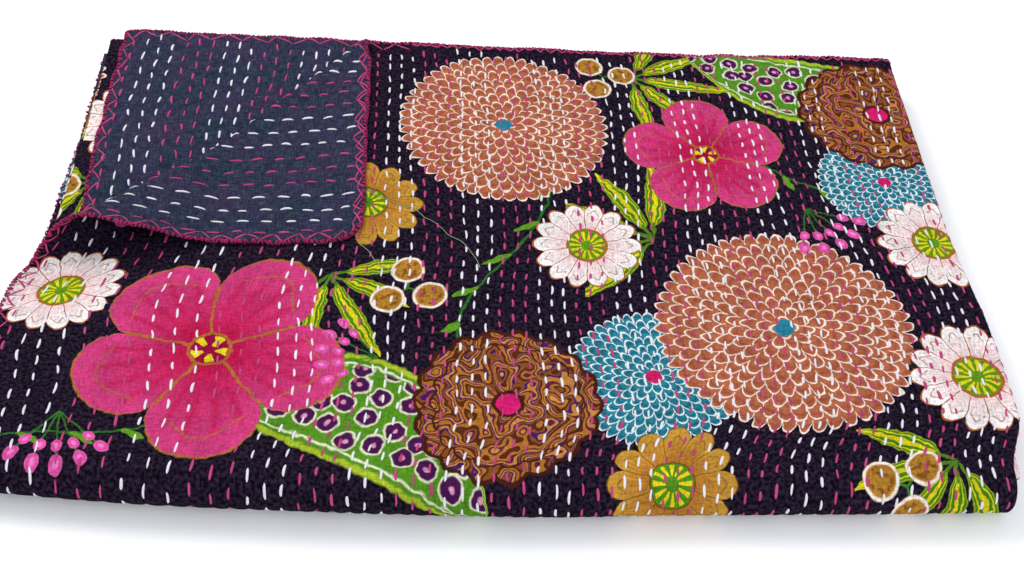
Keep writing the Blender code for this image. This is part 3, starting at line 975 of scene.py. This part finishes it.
# %% Colour the printed face
GROUND, GROUND_WARM, GROUND_WORN = ink(8, 10, 20), ink(24, 6, 22), ink(46, 36, 55)
SHAKE = 0.05


def printed_face(name, motifs):
    """A printed cotton that draws one motif, or none, in each layer."""
    material, tree, lengths, shader, shade = cotton(name, 0.86)
    shake = {0: mottle(tree, lengths, 150.0, 1.0, "Color"), 1: (SHAKE, SHAKE, 0.0), 2: (-SHAKE / 2, -SHAKE / 2, 0.0)}
    shaken = add_node(tree, "VectorMath", shake, operation="MULTIPLY_ADD").outputs[0]
    tint, speckle = mottle(tree, lengths, 48.0), mottle(tree, lengths, 460.0, 1.0)
    colour = paint(tree, GROUND, GROUND_WARM, tint)
    colour = paint(tree, colour, GROUND_WORN, speckle.stretched(3.0, 1.1))
    for layer, motif in enumerate(motifs):
        if motif >= 0:
            group, values = DRAW[KINDS[motif]]
            noted = add_node(tree, "Attribute", attribute_name=f"print_{layer}").outputs["Vector"]
            place = add_node(tree, "VectorMath", {0: noted, 1: shaken}, operation="ADD").outputs[0]
            drawn = add_group(tree, group, place, values).outputs
            colour = paint(tree, colour, drawn["Colour"], drawn["Mask"])
    cloudy = tint * 0.5 + speckle * 0.6 + 0.23
    plug(tree, paint(tree, colour, (shade * 0.9 + 1.0) * cloudy, 1.0, "MULTIPLY"), shader.inputs["Base Color"])
    return material


print("inks mixed for", len(DRAW), "motifs")

# %% [markdown]
# ## The plain backing
#
# The back is a dark slate cotton, dyed a little unevenly towards teal and purple, with paler yarns here and
# there.

# %% Colour the backing
def plain_back():
    material, tree, lengths, shader, shade = cotton("slate_cotton", 0.9)
    patches = mottle(tree, lengths, 34.0).stretched(3.0, 1.0)
    flecks = mottle(tree, lengths, 210.0).stretched(3.0, 1.3)
    pale_yarns = shade.stretched(1.8, -0.08)
    colour = paint(tree, ink(22, 38, 50), ink(48, 34, 62), patches)
    colour = paint(tree, colour, ink(42, 50, 72), flecks)
    plug(tree, paint(tree, colour, ink(80, 82, 106), pale_yarns), shader.inputs["Base Color"])
    return material


slate_cotton = plain_back()
print("backing dyed")

# %% [markdown]
# ## A material for each set of motifs
#
# A material that draws only the motifs near a face is quick to work out. Sets that few faces need share the
# material of the smallest set that holds all their motifs, because a motif that is far away draws nothing.

# %% Share out the materials
FEW = 800


def shared_sets(faces):
    """For each set of motifs, the set whose material its faces use."""
    goes = {}
    for motifs in sorted(faces, key=lambda motifs: (faces[motifs], motifs)):
        wider = [other for other in faces if other != motifs and other not in goes
                 and all(kind in (-1, held) for kind, held in zip(motifs, other))]
        if wider and faces[motifs] < FEW:
            goes[motifs] = min(wider, key=lambda other: (sum(kind >= 0 for kind in other), -faces[other], other))
    ends = {}
    for motifs in faces:
        ends[motifs] = motifs
        while ends[motifs] in goes:
            ends[motifs] = goes[ends[motifs]]
    return ends


cloths = ((top_layer, top_motifs, top_printed), (lower_layers, lower_motifs, lower_printed))
faces = {}
for _, motifs, printed in cloths:
    for row in motifs[printed].tolist():
        faces[tuple(row)] = faces.get(tuple(row), 0) + 1
uses = shared_sets(faces)
sets = sorted(set(uses.values()))
printed_cottons = [printed_face(f"printed_cotton_{number}", motifs) for number, motifs in enumerate(sets)]
print(len(faces), "sets of motifs drawn by", len(sets), "materials")

# %% Give every face its material
for cloth, motifs, printed in cloths:
    cloth.data.materials.append(slate_cotton)
    chosen = np.zeros(len(motifs), np.int32)
    own_slots = {}
    for face in np.flatnonzero(printed):
        motif_set = uses[tuple(motifs[face].tolist())]
        if motif_set not in own_slots:
            cloth.data.materials.append(printed_cottons[sets.index(motif_set)])
            own_slots[motif_set] = len(cloth.data.materials) - 1
        chosen[face] = own_slots[motif_set]
    cloth.data.polygons.foreach_set("material_index", chosen)
    print(cloth.name, "uses", len(own_slots), "printed cottons")

# %% [markdown]
# ## Sewing with real thread
#
# A running stitch shows as a row of short dashes on the printed side, and shows again on the plain side in
# between. Each dash is a bit of soft six-strand cotton, about a millimetre and a half wide, that rises out
# of one hole and dives into the next. One dash is a small closed tube of a few dozen faces. All of a colour
# are joined in one mesh, and each is laid through the same function as the cloth, so it bends where the
# cloth bends. Three white rows and three pink rows take turns, and no two dashes are quite alike.

# %% A helper that lays stitches on the cloth
STITCH_STATIONS = np.linspace(-1, 1, 5)
STITCH_ROUND = np.arange(6) * pi / 3
ABOVE, DIVE = 0.00018, 0.00055  # how high a stitch lies, and how deep its ends go
SLIP_ALONG, SLIP_ASIDE, SLIP_TURN = 0.0010, 0.0005, 0.10  # how far hand sewing strays
LOOSER_BACK = 1.8  # how much more it turns aside on the plain side
SHORTEST, LONGEST = 0.24, 0.35  # half a stitch as a share of its step
MARGIN = 0.003  # no row is sewn nearer to a side hem
sewn = {"white": [], "pink": []}
dice = np.random.default_rng(11)


def lay_stitches(colour, u, v, along_u, along_v, half, side, width=0.00078, height=0.00055, top=True):
    """Adds stitches at (u, v), reaching `half` both ways along a direction, on one side of the cloth."""
    if len(u) == 0:
        return
    s, a = STITCH_STATIONS[None, :, None], STITCH_ROUND[None, None, :]
    width = width * dice.uniform(0.8, 1.2, len(u))
    u, v, along_u, along_v, half, width = (
        np.asarray(value, float)[:, None, None] for value in (u, v, along_u, along_v, half, width)
    )
    bow = dice.uniform(-0.14, 0.14, u.shape) * half * (1 - s * s)
    taper = 1 - 0.5 * np.abs(s) ** 3
    aside = width * taper * np.cos(a) + bow
    uu = u + along_u * half * s - along_v * aside
    vv = v + along_v * half * s + along_u * aside
    printed, plain = cloth_depths(uu, vv, top)
    surface = np.where(side > 0, printed, -plain)
    raised = ABOVE - DIVE * np.abs(s) ** 4 + height * taper * np.sin(a)
    sewn[colour].append(quilt_points(uu, vv, side * (surface + raised)) * np.ones_like(s + a)[..., None])


def sew_rows(first_u, last_u, first_v, last_v, side, where, top=True):
    """Sews the rows that cross a stretch of cloth, keeping the stitches that `where` allows."""
    for row in range(int(np.ceil(row_number(first_u))), int(row_number(last_u)) + 1):
        place = row_place(row)
        fine = np.linspace(first_v + 0.004, last_v - 0.004, 2000)
        beats = stitch_beat(row, fine) - (0.0 if side > 0 else 0.5)
        number = np.arange(np.ceil(beats[0]), np.floor(beats[-1]) + 1)
        v = np.interp(number, beats, fine) + dice.uniform(-SLIP_ALONG, SLIP_ALONG, len(number))
        step = (fine[-1] - fine[0]) / (beats[-1] - beats[0])
        slope = (row_shift(place, v + 0.002) - row_shift(place, v - 0.002)) / 0.004
        u = place + row_shift(place, v) + dice.uniform(-SLIP_ASIDE, SLIP_ASIDE, len(v))
        lean = slope + dice.uniform(-SLIP_TURN, SLIP_TURN, len(v)) * (1.0 if side > 0 else LOOSER_BACK)
        half = step * dice.uniform(SHORTEST, LONGEST, len(v))
        allowed = where(u, v) & (u > MARGIN) & (u < FLAT_X - MARGIN)
        colour = "white" if (row + 2) // 3 % 2 else "pink"
        u, v, lean, half = u[allowed], v[allowed], lean[allowed], half[allowed]
        lay_stitches(colour, u, v, np.sin(lean), np.cos(lean), half, side, top=top)


def stitch_counts():
    return {colour: sum(map(len, parts)) for colour, parts in sewn.items()}


START = 0.004  # clear of the hems
INTO_ROLL, BEFORE_ROLL = 0.055, -0.004  # how far past the start of the roll each side can be seen
sew_rows(START, BREAKS_X[2], START, BREAKS_Y[2], 1, lambda u, v: past_crease(u, v) < INTO_ROLL)
sew_rows(START, BREAKS_X[1], START, BREAKS_Y[1], -1, lambda u, v: past_crease(u, v) > BEFORE_ROLL)
print("stitches on the top layer:", stitch_counts())

# %% The layer under the turned corner, plain side up
sew_rows(FLAT_X - 0.262, FLAT_X - START, START, 0.27, -1, lambda u, v: under_corner(u, v) > BEFORE_ROLL, top=False)
print("with the corner below:", stitch_counts())

# %% [markdown]
# ## Sewn hems
#
# The raw edges are turned in and caught down with a thick pink thread. It goes round the rim again and
# again in dense stitches, and in between it reaches further in, which makes an uneven zigzag. The zigzag is
# up to nine millimetres deep, and much finer along the back, where the sewer had more patience. On one
# side of the turned corner a second zigzag crosses the first. The round-the-rim stitches need places just
# outside the cloth, so a helper mirrors the cloth's own places at its edge.

# %% Zigzag the hems
def zigzag(along_left, start, end, side, top, fixed, step=0.0100, deepest=0.0096):
    """Sews a zigzag on one side of a hem, from `start` to `end` along it."""
    count = int((end - start) / step)
    at = start + (end - start) * np.arange(count + 1) / count + dice.uniform(-0.28, 0.28, count + 1) * step
    deep = np.arange(count + 1) % 2 == 1
    reach = dice.uniform(0.60, 1.0, count + 1) * deepest
    inside = np.where(deep, reach, dice.uniform(0.0004, 0.0016, count + 1))
    u, v = (fixed(inside), at) if along_left else (at, fixed(inside))
    du, dv = np.diff(u), np.diff(v)
    length = np.hypot(du, dv)
    middle_u, middle_v = (u[1:] + u[:-1]) / 2, (v[1:] + v[:-1]) / 2
    lay_stitches("pink", middle_u, middle_v, du / length, dv / length, length / 2 + 0.0005, side, 0.0006, 0.00055, top)


def near_hem(inside):
    return inside


def far_u(inside):
    return FLAT_X - inside


def far_v(inside):
    return FLAT_Y - inside


CORNER_HEM = 0.235
for side in (1, -1):
    zigzag(True, START, BREAKS_Y[2], side, True, near_hem, 0.0074)
    zigzag(False, START, CORNER_HEM, side, True, near_hem)
    zigzag(False, CORNER_HEM, BREAKS_X[2], side, True, near_hem, 0.0038, 0.0046)
    zigzag(True, START, BREAKS_Y[1], side, False, far_u)
zigzag(False, 0.014, CORNER_HEM - 0.02, -1, True, near_hem, 0.0104, 0.0086)
zigzag(False, BREAKS_X[6], FLAT_X - START, -1, False, near_hem)
print("with the zigzag:", stitch_counts())

# %% Stitch round the rims
def mirrored(u, v, depth):
    """Places of points that may lie a little outside the cloth's hems."""
    in_u, in_v = np.clip(u, 0.0, FLAT_X), np.clip(v, 0.0, FLAT_Y)
    rim = quilt_points(in_u, in_v, depth)
    return 2 * rim - quilt_points(2 * in_u - u, 2 * in_v - v, depth)


RIM_INSIDE = np.array((1.0, 0.72, 0.22, 0.0, 0.22, 0.72, 1.0))
RIM_OUTSIDE = np.array((0.0, 0.0, 0.00045, 0.00075, 0.00045, 0.0, 0.0))
RIM_DEPTH = np.array((0.00065, 0.00115, 0.00110, 0.0, -0.00110, -0.00115, -0.00065))
THREAD_HALF = 0.00045  # half the thickness of a hem stitch
rim_stitches = []


def stitch_rim(along_left, fixed, start, end, step):
    """Sews round a hem's rim, from `start` to `end` along it."""
    count = int((end - start) / step)
    at = start + (np.arange(count) + dice.uniform(0.1, 0.9, count)) * step
    reach = dice.uniform(0.0010, 0.0025, count)[:, None]
    inside = RIM_INSIDE * reach - RIM_OUTSIDE
    depth = np.broadcast_to(RIM_DEPTH, inside.shape)
    lean = dice.uniform(-0.0026, 0.0026, count)[:, None] * np.linspace(-1, 1, 7)
    out_inside, out_depth = -np.gradient(depth, axis=1), np.gradient(inside, axis=1)
    size = np.hypot(out_inside, out_depth) * np.sign(out_inside[:, 3:4] + 1e-12) * -1
    a = STITCH_ROUND[None, None, :]
    thick = dice.uniform(0.00052, 0.0009, count)[:, None, None]
    ring_in = fixed(inside[..., None] + (out_inside / size)[..., None] * THREAD_HALF * np.sin(a))
    ring_depth = depth[..., None] + (out_depth / size)[..., None] * THREAD_HALF * np.sin(a)
    ring_at = (at[:, None] + lean)[..., None] + thick * np.cos(a)
    ring_u, ring_v = (ring_in, ring_at) if along_left else (ring_at, ring_in)
    rim_stitches.append(mirrored(ring_u, ring_v, ring_depth))


CLOSE, WIDE, RIM_END = 0.0021, 0.006, 0.001  # seen hems are sewn closely, hidden ones widely
for along_left, fixed, start, end, step in (
    (True, near_hem, RIM_END, BREAKS_Y[1], CLOSE),
    (False, near_hem, RIM_END, BREAKS_X[1], CLOSE),
    (True, far_u, RIM_END, BREAKS_Y[1], CLOSE),
    (False, near_hem, BREAKS_X[6], FLAT_X - RIM_END, CLOSE),
    (False, near_hem, BREAKS_X[2], BREAKS_X[6], WIDE),
    (True, near_hem, BREAKS_Y[1], FLAT_Y - START, WIDE),
    (True, far_u, BREAKS_Y[1], FLAT_Y - START, WIDE),
    (False, far_v, START, FLAT_X - START, WIDE),
):
    stitch_rim(along_left, fixed, start, end, step)
print("stitches round the rims:", sum(map(len, rim_stitches)))

# %% [markdown]
# ## One mesh for each thread
#
# All the stitches of a thread have the same faces between their rings, so one block of faces is written down
# once and repeated. A stitch on the plain side is a mirror image of one on the printed side, and a mirror
# image is inside out. So each stitch's volume is added up from its faces, and where it comes out negative the
# faces are turned round.

# %% Join the thread of each colour in one mesh
def outward_blocks(points, block):
    """The block of faces for each stitch, turned round where the stitch would be inside out."""
    corners = points.reshape(len(points), -1, 3)
    a, b, c, d = ((corners - corners.mean(axis=1, keepdims=True))[:, block[:, k]] for k in range(4))
    six_volumes = (a * (np.cross(b, c) + np.cross(c, d))).sum(axis=(1, 2))
    return np.where(six_volumes[:, None, None] < 0, block[:, ::-1], block)


def thread_mesh(name, parts):
    """One mesh of closed tubes from stitch points, with a UV map along and round each."""
    points = np.concatenate(parts)
    count, stations, around = points.shape[:3]
    ring = np.arange(around)
    quads = []
    for k in range(stations - 1):
        here, there = k * around, (k + 1) * around
        quads.append(np.stack((here + ring, here + (ring + 1) % around, there + (ring + 1) % around, there + ring), 1))
    quads = np.concatenate(quads)
    caps = np.array((((0, 3, 2, 1), (0, 5, 4, 3)))), (stations - 1) * around
    ends = np.concatenate((caps[0], caps[0][:, ::-1] + caps[1]))
    blocks = outward_blocks(points, np.concatenate((quads, ends)))
    faces = (np.arange(count)[:, None, None] * stations * around + blocks).reshape(-1, 4)
    vertex = blocks.reshape(-1)
    places = np.stack((vertex // around / (stations - 1), vertex % around / around), axis=1)
    print(name, "has", count, "stitches")
    return add_mesh(name, points.reshape(-1, 3), faces, "thread", places)


white_thread = thread_mesh("white_thread", sewn["white"])
pink_thread = thread_mesh("pink_thread", sewn["pink"])
hem_thread = thread_mesh("hem_thread", rim_stitches)

# %% [markdown]
# ## Loose thread ends
#
# A few ends of green and white thread were left where the sewer changed colour. Each lies on the cloth as a
# thin winding tube.

# %% Lay the loose ends
LOOSE_ENDS = (
    # points on the cloth (u, v) that the end passes, in metres
    ((0.2050, 0.1530), (0.2140, 0.1590), (0.2220, 0.1630), (0.2330, 0.1670), (0.2430, 0.1750), (0.2520, 0.1820),
     (0.2600, 0.1900), (0.2730, 0.2000), (0.2820, 0.2160)),
    ((0.2020, 0.1990), (0.2090, 0.2060), (0.2160, 0.2140), (0.2280, 0.2240)),
)
WINDING, STRAND = 0.0005, 0.00024


def loose_end(points, seed):
    """Rings of a thin tube that winds over the cloth through some points."""
    knots = np.array(points)
    reach = np.concatenate(([0.0], np.cumsum(np.hypot(*np.diff(knots, axis=0).T))))
    table = np.column_stack((reach, knots))
    at = np.linspace(0, reach[-1], 60)
    u, v = read_soft(table, at, 1), read_soft(table, at, 2)
    aside = WINDING * np.sin(at * 310.0 + seed)
    du, dv = np.gradient(u), np.gradient(v)
    size = np.hypot(du, dv)
    side_u, side_v = -dv / size, du / size
    a = STITCH_ROUND[None, :]
    across = aside[:, None] + STRAND * np.cos(a)
    printed, _ = cloth_depths(u, v, True)
    lifted = printed[:, None] + 0.0006 + 0.0003 * np.sin(at * 190.0 + seed)[:, None] + STRAND * np.sin(a)
    return quilt_points(u[:, None] + side_u[:, None] * across, v[:, None] + side_v[:, None] * across, lifted)


loose_ends = np.stack([loose_end(points, seed) for seed, points in enumerate(LOOSE_ENDS)])
loose_thread = thread_mesh("loose_thread", [loose_ends])

# %% [markdown]
# ## Thread
#
# Six-strand cotton has a soft twist. Fine slanting lines round each stitch show it up close: a bump, with painted
# shade in the grooves between the strands. White thread is a little off-white, and pink thread fades here and there.

# %% Colour the threads
def thread_material(name, first, second):
    material, tree, shader = new_material(name, 0.8, 0.2)
    along = add_node(tree, "SeparateXYZ", {0: add_node(tree, "UVMap", uv_map="thread").outputs["UV"]}).outputs
    twist = (Wire(tree, along[0]) * 9.0 + Wire(tree, along[1]) * 3.0) * (2 * pi)
    strands = twist.cosine() * 0.5 + 0.5
    faded = mottle(tree, add_node(tree, "TexCoord").outputs["Object"], 60.0)
    # painted shade: a darker copy of the thread's colour, laid in the grooves of the twist
    painted_groove_shade = tuple(value * 0.62 for value in first[:3]) + (1.0,)
    colour = paint(tree, paint(tree, first, second, faded), painted_groove_shade, strands.under(0.25, 0.3) * 0.6)
    tree.links.new(colour, shader.inputs["Base Color"])
    add_bump(tree, shader, strands, 0.5, 0.0002)
    return material


for piece, name, first, second in (
    (white_thread, "white_cotton", ink(240, 236, 240), ink(208, 206, 218)),
    (pink_thread, "pink_cotton", ink(160, 34, 88), ink(210, 88, 144)),
    (hem_thread, "hem_cotton", ink(104, 14, 54), ink(200, 44, 112)),
    (loose_thread, "loose_cotton", ink(78, 120, 66), ink(196, 204, 176)),
):
    piece.data.materials.append(thread_material(name, first, second))
print("threads coloured")

# %% [markdown]
# ## Floor, light and camera
#
# A pale seamless floor and big soft lights keep attention on the cloth. The camera stands in front, looks
# down at about fifty degrees, and is rolled very slightly.

# %% Floor and backdrop
bpy.ops.mesh.primitive_plane_add(size=12.0, location=(0.0, 0.0, 0.0))
floor = bpy.context.object
floor.name = "floor"
pale_floor, _, floor_shader = new_material("pale_floor", 0.6, 0.5)
floor_shader.inputs["Base Color"].default_value = (0.93, 0.93, 0.94, 1.0)
floor.data.materials.append(pale_floor)
world = bpy.data.worlds.new("soft_room")
bpy.context.scene.world = world
world.use_nodes = True
sky = world.node_tree.nodes["Background"].inputs
sky["Color"].default_value, sky["Strength"].default_value = (0.93, 0.96, 1.0, 1.0), 0.80


def soft_light(name, place, target, size, power, colour):
    """A square area light that looks at a point."""
    lamp = bpy.data.lights.new(name, "AREA")
    lamp.shape, lamp.size, lamp.energy, lamp.color = "SQUARE", size, power, colour
    thing = add_object(name, lamp)
    thing.location = place
    thing.rotation_euler = (Vector(target) - Vector(place)).to_track_quat("-Z", "Y").to_euler()


soft_light("window", (-0.9, 0.9, 1.5), (0, 0, 0), 0.9, 21.0, (1.0, 0.98, 0.95))
soft_light("fill", (0.9, -1.3, 1.2), (0, 0, 0), 1.4, 14.0, (0.95, 0.97, 1.0))
print("floor and lights placed")

# %% Camera
CAMERA_PLACE = np.array((-0.0246, -0.5923, 0.6574)) - np.array((*MIDDLE, 0.0))
AZIMUTH, ELEVATION, ROLL = radians(2.5), radians(49.19), radians(2.96)
SENSOR, FOCAL_PIXELS = 36.0, 1331.4  # focal length for a picture 1024 wide
forward = Vector((sin(AZIMUTH) * cos(ELEVATION), cos(AZIMUTH) * cos(ELEVATION), -sin(ELEVATION)))
level = forward.cross(Vector((0, 0, 1))).normalized()
upright = level.cross(forward)
right = cos(ROLL) * level + sin(ROLL) * upright
above = -sin(ROLL) * level + cos(ROLL) * upright
lens = bpy.data.cameras.new("camera")
lens.sensor_width, lens.lens, lens.clip_start = SENSOR, FOCAL_PIXELS / 1024 * SENSOR, 0.01
camera = add_object("camera", lens)
turn = Matrix((right, above, -forward)).transposed().to_4x4()
camera.matrix_world = Matrix.Translation(Vector(CAMERA_PLACE)) @ turn
bpy.context.scene.camera = camera
bpy.context.scene.view_settings.view_transform = "Standard"
print("camera at", [round(value, 3) for value in camera.location])

# %% [markdown]
# ## Onto the body
#
# Every piece rides on the quilt's one body, and the two cloth meshes take the place of the plain model's solids,
# which are hidden.

threads = [white_thread, pink_thread, hem_thread, loose_thread]
for piece in (top_layer, lower_layers, *threads):
    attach(piece, "root")
for cloth in (top_layer, lower_layers):
    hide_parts("face_cloth", "backing_cloth")
